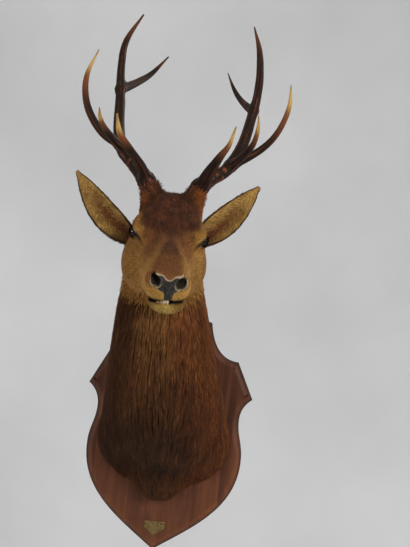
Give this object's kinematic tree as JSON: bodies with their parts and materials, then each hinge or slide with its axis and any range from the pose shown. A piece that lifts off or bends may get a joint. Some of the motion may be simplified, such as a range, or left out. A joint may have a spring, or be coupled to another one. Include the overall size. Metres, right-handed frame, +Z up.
{
  "type": "red deer stag head mount",
  "caption": "Taxidermy head and neck of an antlered red deer stag on a shield-shaped wooden wall board with a bare brass label plate.",
  "frame": {"origin": "on the flat back of the board, on its axis, 340 mm above its bottom point, where it would hang", "axes": "+X to the viewer's right along the wall, +Y into the wall, +Z up"},
  "size_m": [0.523, 0.6898, 1.4932],
  "materials": {
    "board_wood": "stained mahogany, satin wax",
    "label_brass": "dull, tarnished, no lettering",
    "mane": "coarse red-brown deer hair",
    "face_coat": "short golden-brown deer hair",
    "nose_skin": "dark, slightly glossy, pebbled",
    "eye_glass": "polished dark brown glass eye",
    "antler": "dark brown furrowed bone with ivory tine tips"
  },
  "bodies": {
    "root": {"board": "board_wood", "label_plate": "label_brass", "shoulders": "mane", "neck": "mane", "head": "face_coat", "muzzle": "face_coat", "nose_pad": "nose_skin", "lower_jaw": "face_coat", "ear_right": "face_coat", "ear_left": "face_coat", "eye_left": "eye_glass", "eye_right": "eye_glass", "antler_right_beam_lower": "antler", "antler_right_beam_middle": "antler", "antler_right_beam_upper": "antler", "antler_right_brow_tine": "antler", "antler_right_bez_tine": "antler", "antler_right_trez_tine": "antler", "antler_right_crown_tine": "antler", "antler_left_beam_lower": "antler", "antler_left_beam_middle": "antler", "antler_left_beam_upper": "antler", "antler_left_brow_tine": "antler", "antler_left_bez_tine": "antler", "antler_left_trez_tine": "antler", "antler_left_crown_tine": "antler"}
  },
  "joints": []
}
